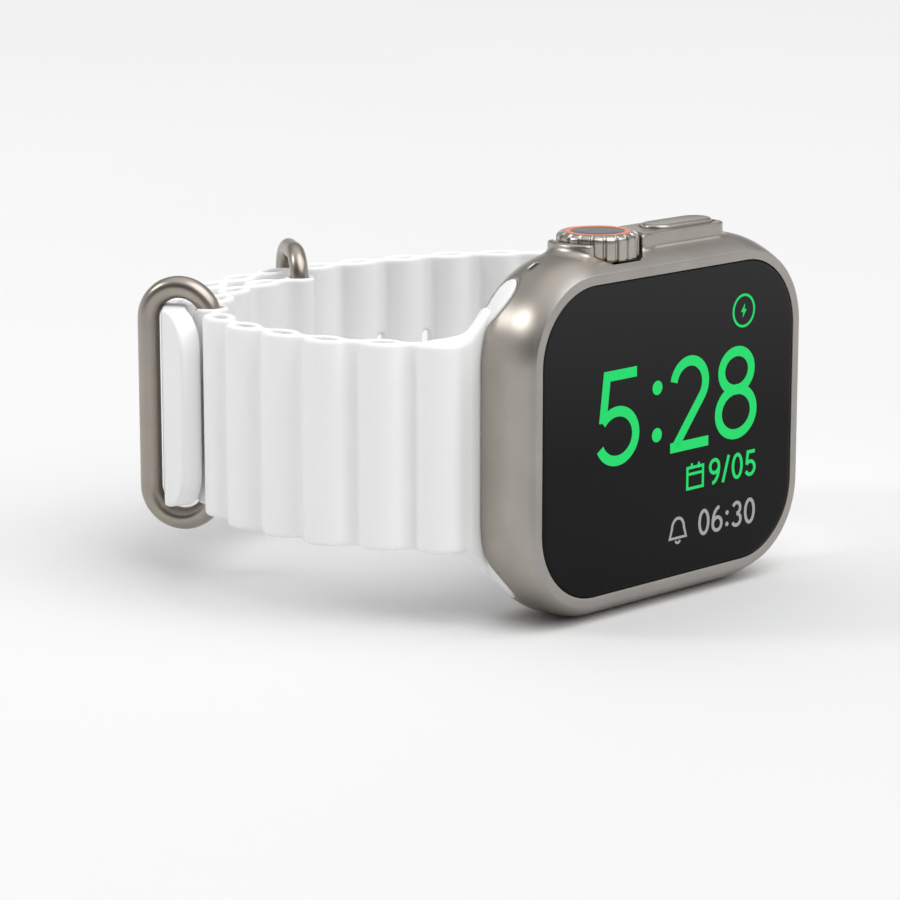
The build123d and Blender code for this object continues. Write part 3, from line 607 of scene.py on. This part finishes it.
def strokes_object(name, strokes, depth, thick=0.03):
    """Flat raised strokes on the glass: each is (points in X and Z, width, closed).

    Fronts differ by a few micrometres, so strokes that cross don't share a plane.
    """
    vertices, faces = [], []
    for points, width, closed in strokes:
        left, right = ribbon(points, width, closed)
        n, base = len(left), len(vertices)
        front = depth - thick - 0.004 * (len(faces) % 3)
        for edge, y in ((left, front), (right, front), (right, depth), (left, depth)):
            vertices += [(u, LIP_Y + y, v) for u, v in edge]
        last = n if closed else n - 1
        for i in range(last):
            j = (i + 1) % n
            for a in range(4):
                b = (a + 1) % 4
                faces.append((base + a * n + i, base + a * n + j, base + b * n + j, base + b * n + i))
        if not closed:
            faces.append(tuple(base + a * n for a in range(4)))
            faces.append(tuple(base + a * n + n - 1 for a in (3, 2, 1, 0)))
    return make_object(name, vertices, faces, smooth=False)


def filled_object(name, outline_points, depth, thick=0.03):
    """A flat raised shape on the glass, cut as a fan about its middle."""
    points = np.array(outline_points)
    count = len(points)
    front = [(u, LIP_Y + depth - thick, v) for u, v in points]
    back = [(u, LIP_Y + depth, v) for u, v in points]
    sides = [(i, (i + 1) % count, count + (i + 1) % count, count + i) for i in range(count)]
    faces = [tuple(range(count)), tuple(range(2 * count - 1, count - 1, -1))] + sides
    return make_object(name, front + back, faces, smooth=False)


def text_strokes(text, foot, height, width, right=None, left=None, gap=0.1, squeeze=1.0):
    """Strokes of a line of figures, set against a right or a left margin."""
    total = sum(GLYPHS[c][0] + gap for c in text) - gap
    u = (right - total * height * squeeze) if right is not None else left
    strokes = []
    for c in text:
        advance, shapes = GLYPHS[c]
        for points, closed in shapes:
            placed = [(u + a * height * squeeze, foot + b * height) for a, b in points]
            if c == ":":
                centre = np.mean(placed[:-1], 0)
                placed = [(centre[0] + width * 0.32 * cos(t), centre[1] + width * 0.32 * sin(t))
                          for t in np.linspace(0, 2 * pi, 17)]
                strokes.append((placed, width * 0.66, True))
            else:
                strokes.append((placed, width, closed))
        u += (advance + gap) * height * squeeze
    return strokes


# ---------------------------------------------------------------- materials
def new_material(name):
    material = bpy.data.materials.new(name)
    material.use_nodes = True
    tree = material.node_tree
    return material, tree, tree.nodes["Principled BSDF"]


def noise(tree, scale, detail=4.0, roughness=0.55, stretch=None):
    """A noise texture in object space, in cycles per metre."""
    coordinates = tree.nodes.new("ShaderNodeTexCoord")
    texture = tree.nodes.new("ShaderNodeTexNoise")
    texture.inputs["Scale"].default_value = scale
    texture.inputs["Detail"].default_value = detail
    texture.inputs["Roughness"].default_value = roughness
    if stretch is None:
        tree.links.new(coordinates.outputs["Object"], texture.inputs["Vector"])
    else:
        mapping = tree.nodes.new("ShaderNodeMapping")
        mapping.inputs["Scale"].default_value = stretch
        tree.links.new(coordinates.outputs["Object"], mapping.inputs["Vector"])
        tree.links.new(mapping.outputs["Vector"], texture.inputs["Vector"])
    return texture


def ramp(tree, source, stops):
    node = tree.nodes.new("ShaderNodeValToRGB")
    elements = node.color_ramp.elements
    for element, (place, colour) in zip(elements, stops):
        element.position, element.color = place, colour
    for place, colour in stops[2:]:
        element = elements.new(place)
        element.color = colour
    tree.links.new(source, node.inputs["Fac"])
    return node


def span(tree, source, low, high):
    """Maps 0 to 1 onto low to high."""
    node = tree.nodes.new("ShaderNodeMapRange")
    node.inputs["To Min"].default_value = low
    node.inputs["To Max"].default_value = high
    tree.links.new(source, node.inputs["Value"])
    return node.outputs["Result"]


def bump(tree, shader, height, strength, distance):
    node = tree.nodes.new("ShaderNodeBump")
    node.inputs["Strength"].default_value = strength
    node.inputs["Distance"].default_value = distance
    tree.links.new(height, node.inputs["Height"])
    tree.links.new(node.outputs["Normal"], shader.inputs["Normal"])


def grey(value):
    return (value, value, value, 1.0)


def mixed(colour, factor):
    return tuple(c * factor for c in colour) + (1.0,)


GRAIN_HEIGHT = 0.00003                                # metres


def metal(name, colour, rough, grain=9000.0, grain_strength=0.12, stretch=None):
    """Blasted or brushed metal: uneven tone, fine grain and a little unevenness of gloss."""
    material, tree, shader = new_material(name)
    shader.inputs["Metallic"].default_value = 1.0
    cloud = noise(tree, 160.0, 5.0)
    tone = ramp(tree, cloud.outputs["Fac"], [(0.3, mixed(colour, 0.93)), (0.7, mixed(colour, 1.05))])
    tree.links.new(tone.outputs["Color"], shader.inputs["Base Color"])
    fine = noise(tree, grain, 3.0, 0.6, stretch)
    tree.links.new(span(tree, fine.outputs["Fac"], rough - 0.06, rough + 0.06), shader.inputs["Roughness"])
    bump(tree, shader, fine.outputs["Fac"], grain_strength, GRAIN_HEIGHT)
    return material


def plastic(name, colour, rough, grain=4000.0, grain_strength=0.08, coat=0.0, cloudiness=0.02):
    """Moulded plastic or rubber: slight tone clouds, fine texture and uneven gloss."""
    material, tree, shader = new_material(name)
    cloud = noise(tree, 90.0, 4.0)
    tone = ramp(tree, cloud.outputs["Fac"],
                [(0.3, mixed(colour, 1 - cloudiness)), (0.7, mixed(colour, 1 + cloudiness))])
    tree.links.new(tone.outputs["Color"], shader.inputs["Base Color"])
    fine = noise(tree, grain, 4.0, 0.6)
    tree.links.new(span(tree, fine.outputs["Fac"], rough - 0.05, rough + 0.05), shader.inputs["Roughness"])
    shader.inputs["Coat Weight"].default_value = coat
    bump(tree, shader, fine.outputs["Fac"], grain_strength, GRAIN_HEIGHT)
    return material


def glowing(name, colour):
    """A lit part of the readout, very slightly uneven."""
    material, tree, shader = new_material(name)
    shader.inputs["Base Color"].default_value = (0.0, 0.0, 0.0, 1.0)
    shader.inputs["Roughness"].default_value = 0.3
    shader.inputs["Specular IOR Level"].default_value = 0.12
    cloud = noise(tree, 5200.0, 1.0)
    tone = ramp(tree, cloud.outputs["Fac"], [(0.35, mixed(colour, 0.96)), (0.65, mixed(colour, 1.03))])
    tree.links.new(tone.outputs["Color"], shader.inputs["Emission Color"])
    shader.inputs["Emission Strength"].default_value = 1.0
    return material


def glass_material():
    """Dark glass over an unlit panel, with a painted reflection that makes it a shade lighter towards its
    upper edge.
    """
    material, tree, shader = new_material("dark_glass")
    coordinates = tree.nodes.new("ShaderNodeTexCoord")
    parts = tree.nodes.new("ShaderNodeSeparateXYZ")
    tree.links.new(coordinates.outputs["Object"], parts.inputs["Vector"])
    height = tree.nodes.new("ShaderNodeMapRange")
    height.inputs["From Min"].default_value = glass_low[2] * MM
    height.inputs["From Max"].default_value = glass_high[2] * MM
    tree.links.new(parts.outputs["Z"], height.inputs["Value"])
    # painted reflection: the glass's base colour grows lighter towards its upper edge
    tone = ramp(tree, height.outputs["Result"], [(0.45, grey(0.001)), (1.0, grey(0.016))])
    tree.links.new(tone.outputs["Color"], shader.inputs["Base Color"])
    smudge = noise(tree, 120.0, 5.0)
    tree.links.new(span(tree, smudge.outputs["Fac"], 0.10, 0.17), shader.inputs["Roughness"])
    shader.inputs["Specular IOR Level"].default_value = 0.13
    return material


TITANIUM = metal("titanium", (0.39, 0.36, 0.32), 0.33)
TITANIUM_CROWN = metal("titanium_crown", (0.42, 0.39, 0.35), 0.25)
TITANIUM_LIP = metal("titanium_lip", (0.37, 0.35, 0.33), 0.38, 7000.0, 0.08)
TITANIUM_WIRE = metal("titanium_wire", (0.36, 0.325, 0.285), 0.30, 5000.0, 0.14, (1.0, 1.0, 0.12))
STEEL = metal("steel", (0.58, 0.58, 0.60), 0.28)
COPPER = metal("copper", (0.72, 0.40, 0.24), 0.30, 3000.0, 0.3)
ORANGE = plastic("orange_anodised", (0.72, 0.19, 0.09), 0.36)
DISC = plastic("crown_disc_dark", (0.075, 0.075, 0.085), 0.34)
STRAP = plastic("white_elastomer", (0.90, 0.90, 0.902), 0.50, 2600.0, 0.06, 0.0, 0.006)
LUG = plastic("white_lug", (0.91, 0.91, 0.912), 0.34, 3000.0, 0.03)
CERAMIC = plastic("dark_ceramic", (0.035, 0.036, 0.040), 0.16, 3000.0, 0.02, 0.5)
DOME = plastic("dome_crystal", (0.012, 0.012, 0.016), 0.06, 2000.0, 0.01, 1.0)
BLACK = plastic("black_plastic", (0.018, 0.018, 0.019), 0.45)
BOARD = plastic("circuit_board", (0.02, 0.09, 0.05), 0.40, 1500.0, 0.2, 0.0, 0.25)
FLEX = plastic("flexible_circuit", (0.50, 0.27, 0.07), 0.42)
FOIL = metal("battery_foil", (0.16, 0.16, 0.17), 0.45, 900.0, 0.4)
GLASS = glass_material()
GREEN_LIGHT = glowing("readout_green", (0.012, 0.70, 0.15))
GREY_LIGHT = glowing("readout_grey", (0.36, 0.36, 0.37))

SLOT_MATERIALS = {
    "titanium": TITANIUM, "sapphire": GLASS, "display": BLACK, "ceramic": CERAMIC, "rear_crystal": DOME,
    "accent": ORANGE, "crown_disc": DISC, "strap": STRAP, "lug": LUG, "steel": STEEL, "seal": BLACK,
    "board": BOARD, "chip": BLACK, "battery": FOIL, "copper": COPPER, "black_plastic": BLACK, "flex": FLEX,
}


def paint(piece, material):
    piece.data.materials.clear()
    piece.data.materials.append(material)


def place(piece, material, body, slot, *nodes):
    """Gives a piece its material, the body it moves with and the CAD nodes it stands for; the slot is not
    used.
    """
    paint(piece, material)
    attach(piece, body)
    if nodes:
        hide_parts(*nodes)
    return piece


for entry in frame["record"]["subparts"]:
    paint(frame["nodes"][entry["node"]], SLOT_MATERIALS[entry["material_slot"]])

# ---------------------------------------------------------------- case
shell = make_object("case_shell", *surface_net(case_field, case_low - 0.6, case_high + 0.6, CASE_CELL))
place(shell, TITANIUM, "case", "titanium", "case_body")
place(lip_ring(), TITANIUM_LIP, "case", "titanium")
place(glass_plate(), GLASS, "case", "sapphire", "display_crystal")

# ---------------------------------------------------------------- black plug in the microphone hole, painted shade that keeps the hole dark
# painted shade: a black plug in the top of the microphone hole stands in for the dark inside it
pocket = stadium(1.5, 0.8)
loops = [np.column_stack((MIC_X + pocket[:, 0], LIP_Y + MIC_DEPTH + pocket[:, 1],
                          z + MIC_SLOPE * pocket[:, 0])) for z in (MIC_TOP - 1.0, MIC_TOP)]
place(crease(make_object("microphone_hole_shade_plug", *skin(loops)), 60), BLACK, "case", "black_plastic")

# ---------------------------------------------------------------- readout on the glass
READOUT_DEPTH = 0.05
RIGHT_MARGIN = 15.9
TIME_FOOT, TIME_HEIGHT, TIME_STROKE = -3.5, 11.9, 1.25
SMALL_HEIGHT, SMALL_STROKE = 3.3, 0.44
time_strokes = []
for text, left, squeeze in (("5", -13.7, 1.08), ("2", -0.6, 1.06), ("8", 7.75, 1.06)):
    time_strokes += text_strokes(text, TIME_FOOT, TIME_HEIGHT, TIME_STROKE, left=left, squeeze=squeeze)
for v in (5.1, -0.7):
    time_strokes.append((arc(-2.7, v, 0.44, 0.44, 0, 360, 20), 0.86, True))
place(strokes_object("readout_time", time_strokes, READOUT_DEPTH), GREEN_LIGHT, "case", "display")

day = text_strokes("9/05", -8.5, SMALL_HEIGHT, SMALL_STROKE, right=RIGHT_MARGIN, gap=0.13)
calendar = [([(3.0, -8.3), (3.0, -5.7), (5.9, -5.7), (5.9, -8.3), (3.0, -8.3)], 0.36, True),
            ([(3.0, -6.5), (5.9, -6.5)], 0.34, False), ([(3.8, -5.2), (3.8, -5.9)], 0.34, False),
            ([(5.1, -5.2), (5.1, -5.9)], 0.34, False)]
place(strokes_object("readout_day", day + calendar, READOUT_DEPTH), GREEN_LIGHT, "case", "display")

alarm = text_strokes("06:30", -14.6, SMALL_HEIGHT, SMALL_STROKE, right=RIGHT_MARGIN, gap=0.13)
bell = [(arc(1.4, -12.9, 1.1, 1.25, 0, 180, 14) + [(-0.1, -14.1), (2.9, -14.1), (2.5, -12.9)], 0.36, True),
        (arc(1.4, -14.3, 0.45, 0.45, 200, 340, 8), 0.3, False)]
place(strokes_object("readout_alarm", alarm + bell, READOUT_DEPTH), GREY_LIGHT, "case", "display")

CHARGE_X, CHARGE_Z, CHARGE_RADIUS = 13.08, 12.57, 1.95
charge_ring = [(arc(CHARGE_X, CHARGE_Z, CHARGE_RADIUS, CHARGE_RADIUS, 0, 360, 48), 0.3, True)]
place(strokes_object("readout_charge", charge_ring, READOUT_DEPTH), GREEN_LIGHT, "case", "display")
BOLT = ((0.2, 0.85), (-0.52, -0.14), (-0.08, -0.14), (-0.2, -0.85), (0.52, 0.14), (0.08, 0.14))
bolt = [(CHARGE_X + u, CHARGE_Z + v) for u, v in BOLT]
place(filled_object("readout_bolt", bolt, READOUT_DEPTH), GREEN_LIGHT, "case", "display")

# ---------------------------------------------------------------- crown and buttons
place(knurled_crown(), TITANIUM_CROWN, "crown", "titanium", "crown_cap")
ring_outer, ring_foot = (ring_high[0] - ring_low[0]) / 2, CROWN_TOP - ACCENT_DEEP
ring_profile = [(ACCENT_INNER, ring_foot), (ACCENT_INNER, CROWN_TOP - 0.04),
                (ACCENT_INNER + 0.05, CROWN_TOP), (ring_outer - 0.05, CROWN_TOP),
                (ring_outer, CROWN_TOP - 0.04), (ring_outer, ring_foot)]
place(crease(turned("crown_accent", ring_profile, CROWN), 50), ORANGE, "crown", "accent", "crown_ring")
disc_profile = [(ACCENT_INNER, ring_foot), (ACCENT_INNER, CROWN_TOP - 0.1),
                (ACCENT_INNER - 0.08, CROWN_TOP - 0.05), (1.5, CROWN_TOP - 0.07), (0.05, CROWN_TOP - 0.08)]
place(crease(turned("crown_face", disc_profile, CROWN), 50), DISC, "crown", "crown_disc", "crown_disc")
place(pill_cap("side_button_cap", "side_button", 1, 1.65, 0.45, 0.06), TITANIUM, "side_button", "titanium",
      "side_button")
place(pill_cap("action_button_cap", "action_button", -1, 0.9, 0.35, 0.06), ORANGE, "action_button", "accent",
      "action_button")

# ---------------------------------------------------------------- strap
near_field = strap_field(-1, NEAR_TUBES, {BUCKLE_TUBE: 2.1, len(NEAR_TUBES) - 1: 1.95}, ())
near_field = bored(near_field, plan(NEAR_TUBES[BUCKLE_TUBE]), BUCKLE_WIRE, radians(BUCKLE_ANGLE), 0.62)
near_field = bored(near_field, plan(NEAR_TUBES[-1]), KEEPER_WIRE, radians(KEEPER_ANGLE), 0.0)
far_field = strap_field(1, FAR_TUBES, {}, range(2, 10), TIP_PATH)
for name, node, field in (("near_strap_body", "strap_near", near_field),
                          ("far_strap_body", "strap_far", far_field)):
    low, high = box_mm(node)
    piece = make_object(name, *surface_net(field, low - 0.9, high + 0.9, STRAP_CELL))
    place(piece, STRAP, "band", "strap", node)
for name, node, side in (("near_lug_core", "lug_near", -1), ("far_lug_core", "lug_far", 1)):
    low, high = box_mm(node)
    low, high = low - 0.8, high + 0.8
    if side < 0:
        low[0] -= 3
    else:
        high[0] += 3
    piece = make_object(name, *surface_net(lug_field(side), low, high, STRAP_CELL * 0.8))
    place(piece, LUG, "band", "lug", node)

buckle = wire_loop("buckle_wire", NEAR_TUBES[BUCKLE_TUBE], BUCKLE_WIRE, BUCKLE_SPAN, BUCKLE_ANGLE,
                   BUCKLE_REACH, BUCKLE_CORNER)
place(buckle, TITANIUM_WIRE, "buckle", "titanium", "buckle_ring")
keeper = wire_loop("keeper_wire", NEAR_TUBES[-1], KEEPER_WIRE, KEEPER_SPAN, KEEPER_ANGLE,
                   KEEPER_REACH, KEEPER_CORNER)
place(keeper, TITANIUM_WIRE, "keeper", "titanium", "keeper_loop")


# ---------------------------------------------------------------- floor, lights, camera
def floor():
    """A plain sheet of paper just under the watch."""
    half, level = 3.0, cad_box[0][2] - 0.0001
    corners = [(-half, -half, level), (half, -half, level), (half, half, level), (-half, half, level)]
    mesh = bpy.data.meshes.new("floor")
    mesh.from_pydata(corners, [], [(0, 1, 2, 3)])
    sheet = bpy.data.objects.new("floor", mesh)
    bpy.context.scene.collection.objects.link(sheet)
    material, tree, shader = new_material("floor_paper")
    cloud = noise(tree, 6.0, 2.0)
    tone = ramp(tree, cloud.outputs["Fac"], [(0.3, grey(0.752)), (0.7, grey(0.762))])
    tree.links.new(tone.outputs["Color"], shader.inputs["Base Color"])
    shader.inputs["Roughness"].default_value = 0.85
    shader.inputs["Specular IOR Level"].default_value = 0.2
    mesh.materials.append(material)


def area_light(name, place_at, aim, size, power):
    """A softbox: places in metres, power in watts."""
    data = bpy.data.lights.new(name, "AREA")
    data.shape, data.size, data.size_y = "RECTANGLE", size[0], size[1]
    data.energy = power
    lamp = bpy.data.objects.new(name, data)
    lamp.location = place_at
    lamp.rotation_mode = "QUATERNION"
    lamp.rotation_quaternion = (Vector(aim) - Vector(place_at)).to_track_quat("-Z", "Y")
    bpy.context.scene.collection.objects.link(lamp)


def studio():
    """Soft overhead sky with two dark sectors, a wide soft sun and two softboxes for the metal."""
    bpy.context.scene.view_settings.view_transform = "Standard"
    world = bpy.data.worlds.new("studio")
    bpy.context.scene.world = world
    world.use_nodes = True
    tree = world.node_tree
    direction = tree.nodes.new("ShaderNodeTexCoord")
    parts = tree.nodes.new("ShaderNodeSeparateXYZ")
    tree.links.new(direction.outputs["Generated"], parts.inputs["Vector"])
    sky = ramp(tree, parts.outputs["Z"], SKY_STOPS)
    light = sky.outputs["Color"]
    for way, start, end in DARK_SECTORS:
        toward = tree.nodes.new("ShaderNodeVectorMath")
        toward.operation = "DOT_PRODUCT"
        toward.inputs[1].default_value = way
        tree.links.new(direction.outputs["Generated"], toward.inputs[0])
        shade = ramp(tree, toward.outputs["Value"], [(start, grey(1.0)), (end, grey(0.22))])
        both = tree.nodes.new("ShaderNodeMix")
        both.data_type, both.blend_type = "RGBA", "MULTIPLY"
        both.inputs["Factor"].default_value = 1.0
        tree.links.new(light, both.inputs["A"])
        tree.links.new(shade.outputs["Color"], both.inputs["B"])
        light = both.outputs["Result"]
    background = tree.nodes["Background"]
    tree.links.new(light, background.inputs["Color"])
    background.inputs["Strength"].default_value = SKY_STRENGTH
    data = bpy.data.lights.new("sun", "SUN")
    data.energy, data.angle = SUN_STRENGTH, SUN_ANGLE
    sun = bpy.data.objects.new("sun", data)
    sun.rotation_mode = "QUATERNION"
    sun.rotation_quaternion = Vector(SUN_DIRECTION).to_track_quat("Z", "Y")
    bpy.context.scene.collection.objects.link(sun)
    area_light("highlight", (-0.60, 0.54, 0.56), (-0.01, 0, 0), (0.20, 0.26), 1.75)
    area_light("right_box", (0.68, -0.50, 0.62), (0, 0, 0.01), (0.18, 0.18), 0.40)


# direction of each dark sector, and the cosines between which it fades in
DARK_SECTORS = [((-0.98, -0.17, 0.05), 0.55, 0.9), ((-0.22, -0.96, 0.12), 0.8, 0.97)]
SKY_STOPS = [(0.0, grey(0.95)), (0.16, grey(0.85)), (0.34, grey(0.34)), (0.66, grey(0.44)), (0.9, grey(1.1))]
SKY_STRENGTH, SUN_STRENGTH = 1.08, 1.7
SUN_DIRECTION, SUN_ANGLE = (0.03, -0.60, 0.80), radians(60)

CAMERA_AZIMUTH, CAMERA_ELEVATION, CAMERA_DISTANCE = radians(-44.897), radians(12.282), 0.37619
CAMERA_AIM = Vector((-0.03786, LIP_Y * MM, 0.00288))
CAMERA_LENS = 133.42


def camera():
    """A long lens at the watch's front left, a little above the floor."""
    data = bpy.data.cameras.new("camera")
    data.lens, data.sensor_width = CAMERA_LENS, 36.0
    data.clip_start, data.clip_end = 0.01, 20.0
    seer = bpy.data.objects.new("camera", data)
    level = cos(CAMERA_ELEVATION)
    back = Vector((sin(CAMERA_AZIMUTH) * level, -cos(CAMERA_AZIMUTH) * level, sin(CAMERA_ELEVATION)))
    seer.location = CAMERA_AIM + back * CAMERA_DISTANCE
    seer.rotation_mode = "QUATERNION"
    seer.rotation_quaternion = (-back).to_track_quat("-Z", "Y")
    bpy.context.scene.collection.objects.link(seer)
    bpy.context.scene.camera = seer


floor()
studio()
camera()
